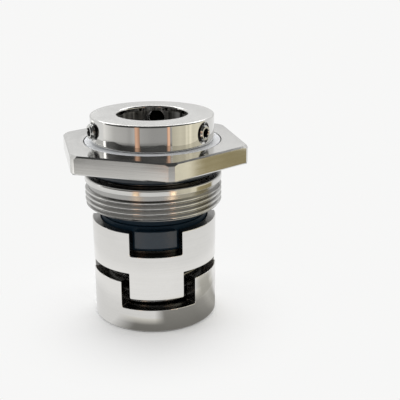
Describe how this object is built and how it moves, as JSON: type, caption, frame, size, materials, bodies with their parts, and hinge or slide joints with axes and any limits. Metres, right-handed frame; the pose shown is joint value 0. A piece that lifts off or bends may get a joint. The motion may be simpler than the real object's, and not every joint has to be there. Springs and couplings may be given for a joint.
{
  "type": "cartridge mechanical seal",
  "caption": "Cartridge shaft seal: sleeve with clamp collar, threaded hexagon gland and spring-loaded ceramic faces driven by interlocking castellated steel rings.",
  "frame": {"origin": "centre of the foot, on the shaft axis", "axes": "+Z along the shaft axis, from the foot up to the clamp collar; -Y is the side with a driving tongue in the middle"},
  "size_m": [0.0576, 0.0602, 0.0655],
  "materials": {
    "polished_steel": "turned and polished stainless steel",
    "screw_steel": "plain stainless set screw",
    "spring_steel": "drawn spring wire",
    "silicon_carbide": "sintered and ground, lapped on the running face",
    "black_rubber": "moulded, slightly glossy",
    "white_plastic": "turned PTFE, satin"
  },
  "bodies": {
    "rotor": {"shaft_sleeve": "polished_steel", "shaft_o_ring": "black_rubber", "sleeve_clip": "spring_steel", "lower_driver": "polished_steel", "clamp_collar": "polished_steel", "spring": "spring_steel"},
    "head": {"upper_driver": "polished_steel", "thrust_ring": "polished_steel", "rotary_o_ring": "black_rubber", "rotary_ring": "silicon_carbide"},
    "gland": {"gland": "polished_steel", "gland_o_ring": "black_rubber", "slip_ring": "white_plastic", "seat_ring": "silicon_carbide", "seat_o_ring": "black_rubber"},
    "set_screw_1": {"set_screw_1": "screw_steel"},
    "set_screw_2": {"set_screw_2": "screw_steel"},
    "set_screw_3": {"set_screw_3": "screw_steel"}
  },
  "joints": [
    {"name": "gland_turn", "type": "hinge", "parent": "rotor", "child": "gland", "pos_m": [0, 0, 0.0545], "axis": [0, 0, 1], "continuous": true},
    {"name": "head_slide", "type": "slide", "parent": "rotor", "child": "head", "axis": [0, 0, 1], "range_m": [-0.003, 0], "stiffness_N_per_m": 8000, "springref_m": 0.006, "deforming": ["spring"]},
    {"name": "set_screw_1_travel", "type": "slide", "parent": "rotor", "child": "set_screw_1", "axis": [0.9205, 0.3907, 0], "range_m": [-0.001, 0.0017]},
    {"name": "set_screw_2_travel", "type": "slide", "parent": "rotor", "child": "set_screw_2", "axis": [-0.7986, 0.6018, 0], "range_m": [-0.001, 0.0009]},
    {"name": "set_screw_3_travel", "type": "slide", "parent": "rotor", "child": "set_screw_3", "axis": [-0.1219, -0.9925, 0], "range_m": [-0.001, 0.0011]}
  ]
}
